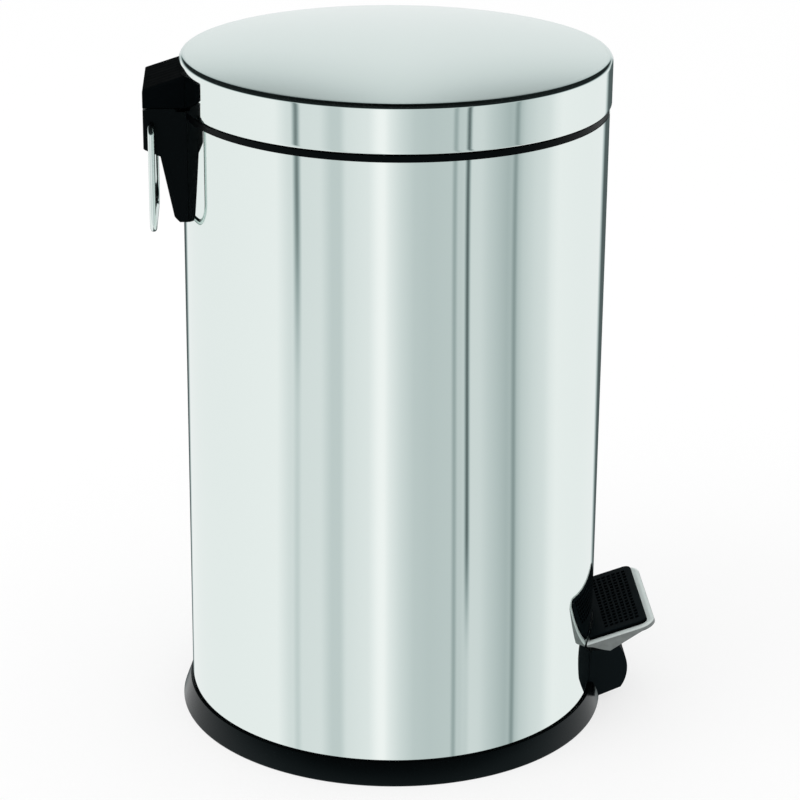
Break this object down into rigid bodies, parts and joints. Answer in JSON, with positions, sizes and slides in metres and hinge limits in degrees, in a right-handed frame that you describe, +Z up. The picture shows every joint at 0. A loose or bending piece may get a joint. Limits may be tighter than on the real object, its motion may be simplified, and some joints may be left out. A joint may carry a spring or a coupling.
{
  "type": "pedal bin",
  "caption": "Round polished-steel pedal bin: a foot pedal, lever and push rod lift the domed lid on its rear hinge; lift-out inner bucket and wire carrying handle.",
  "frame": {"origin": "on the floor, on the axis of the round body", "axes": "+Z up along the body's axis, -Y towards the pedal (front), +Y towards the lid hinge (back)"},
  "size_m": [0.262, 0.3075, 0.421],
  "materials": {
    "polished_steel": "mirror polished",
    "plated_steel": "zinc plated",
    "chromed_wire": "bright chrome",
    "black_plastic": "moulded, lightly grained",
    "bucket_plastic": "moulded, satin",
    "black_rubber": "matt, dimpled"
  },
  "bodies": {
    "bin": {"body_shell": "polished_steel", "top_collar": "black_plastic", "base_ring": "black_plastic", "base_plate": "plated_steel", "base_screw_1": "plated_steel", "base_screw_2": "plated_steel", "base_screw_3": "plated_steel", "base_screw_4": "plated_steel", "pedal_guard": "black_plastic", "guard_screw_1": "plated_steel", "guard_screw_2": "plated_steel", "hinge_bracket": "black_plastic", "bracket_screw_1": "plated_steel", "bracket_screw_2": "plated_steel", "hinge_pin": "plated_steel", "lever_bracket": "plated_steel", "bracket_rivet_1": "plated_steel", "bracket_rivet_2": "plated_steel", "lever_pin": "plated_steel", "rod_guide_1": "black_plastic", "rod_guide_2": "black_plastic"},
    "bucket": {"inner_bucket": "bucket_plastic"},
    "lid": {"lid_shell": "polished_steel", "lid_liner": "black_plastic", "lid_hinge_block": "black_plastic", "lid_screw_1": "plated_steel", "lid_screw_2": "plated_steel", "lid_bumper_1": "black_rubber", "lid_bumper_2": "black_rubber", "lid_bumper_3": "black_rubber"},
    "pedal": {"pedal_lever": "plated_steel", "pedal_plate": "polished_steel", "pedal_pad": "black_rubber", "pedal_rivet_1": "plated_steel", "pedal_rivet_2": "plated_steel"},
    "rod": {"lift_rod": "plated_steel"},
    "handle": {"carry_handle": "chromed_wire"}
  },
  "joints": [
    {"name": "lid_open", "type": "hinge", "parent": "bin", "child": "lid", "pos_m": [0, 0.142, 0.375], "axis": [-1, 0, 0], "range_deg": [0, 75]},
    {"name": "pedal_press", "type": "hinge", "parent": "bin", "child": "pedal", "pos_m": [0, -0.05, 0.028], "axis": [1, 0, 0], "range_deg": [0, 10.11]},
    {"name": "rod_lift", "type": "slide", "parent": "bin", "child": "rod", "axis": [0, 0, 1], "range_m": [0, 0.03023]},
    {"name": "handle_swing", "type": "hinge", "parent": "bin", "child": "handle", "pos_m": [0, 0.142, 0.375], "axis": [1, 0, 0], "range_deg": [-10, 120]},
    {"name": "bucket_lift", "type": "slide", "parent": "bin", "child": "bucket", "axis": [0, 0, 1], "range_m": [0, 0.015]}
  ],
  "couplings": [
    {"joint": "pedal_press", "follows": "lid_open", "ratio": 0.13467},
    {"joint": "rod_lift", "follows": "lid_open", "m_per_rad": 0.023086}
  ]
}
